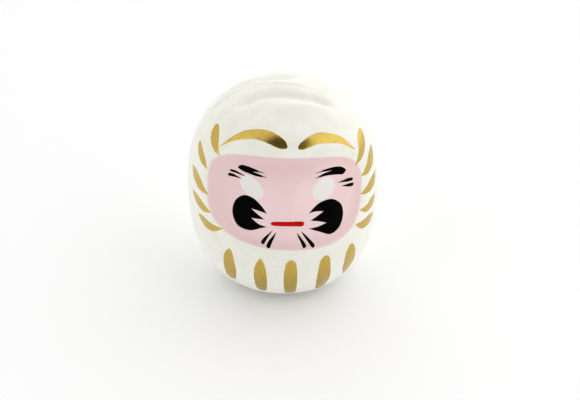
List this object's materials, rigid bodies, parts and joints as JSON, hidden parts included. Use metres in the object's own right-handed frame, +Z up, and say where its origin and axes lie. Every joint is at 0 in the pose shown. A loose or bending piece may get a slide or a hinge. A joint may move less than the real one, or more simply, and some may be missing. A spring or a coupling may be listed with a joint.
{
  "type": "daruma doll",
  "caption": "Hollow papier-mache tumbler doll with a recessed painted face, a taped seam over the crown and a clay weight in its flat foot.",
  "frame": {"origin": "middle of the foot's flat underside, on the surface that the doll stands on", "axes": "+Z up from the foot to the crown, the face looks along -Y, +X is the doll's left as it faces out (the viewer's right)"},
  "size_m": [0.0966, 0.0948, 0.1058],
  "materials": {
    "painted_paper": "satin",
    "pasted_strip": "satin",
    "bare_clay": "matte",
    "hide_glue": "gloss",
    "gold_paint": "satin",
    "black_paint": "gloss",
    "red_paint": "gloss",
    "pink_paint": "satin"
  },
  "bodies": {
    "root": {"front_shell": "painted_paper", "back_shell": "painted_paper", "crown_seam_strip": "pasted_strip", "left_seam_strip": "pasted_strip", "right_seam_strip": "pasted_strip", "foot_paper_ring": "pasted_strip", "base_weight": "bare_clay", "glue_bead": "hide_glue"}
  },
  "joints": []
}
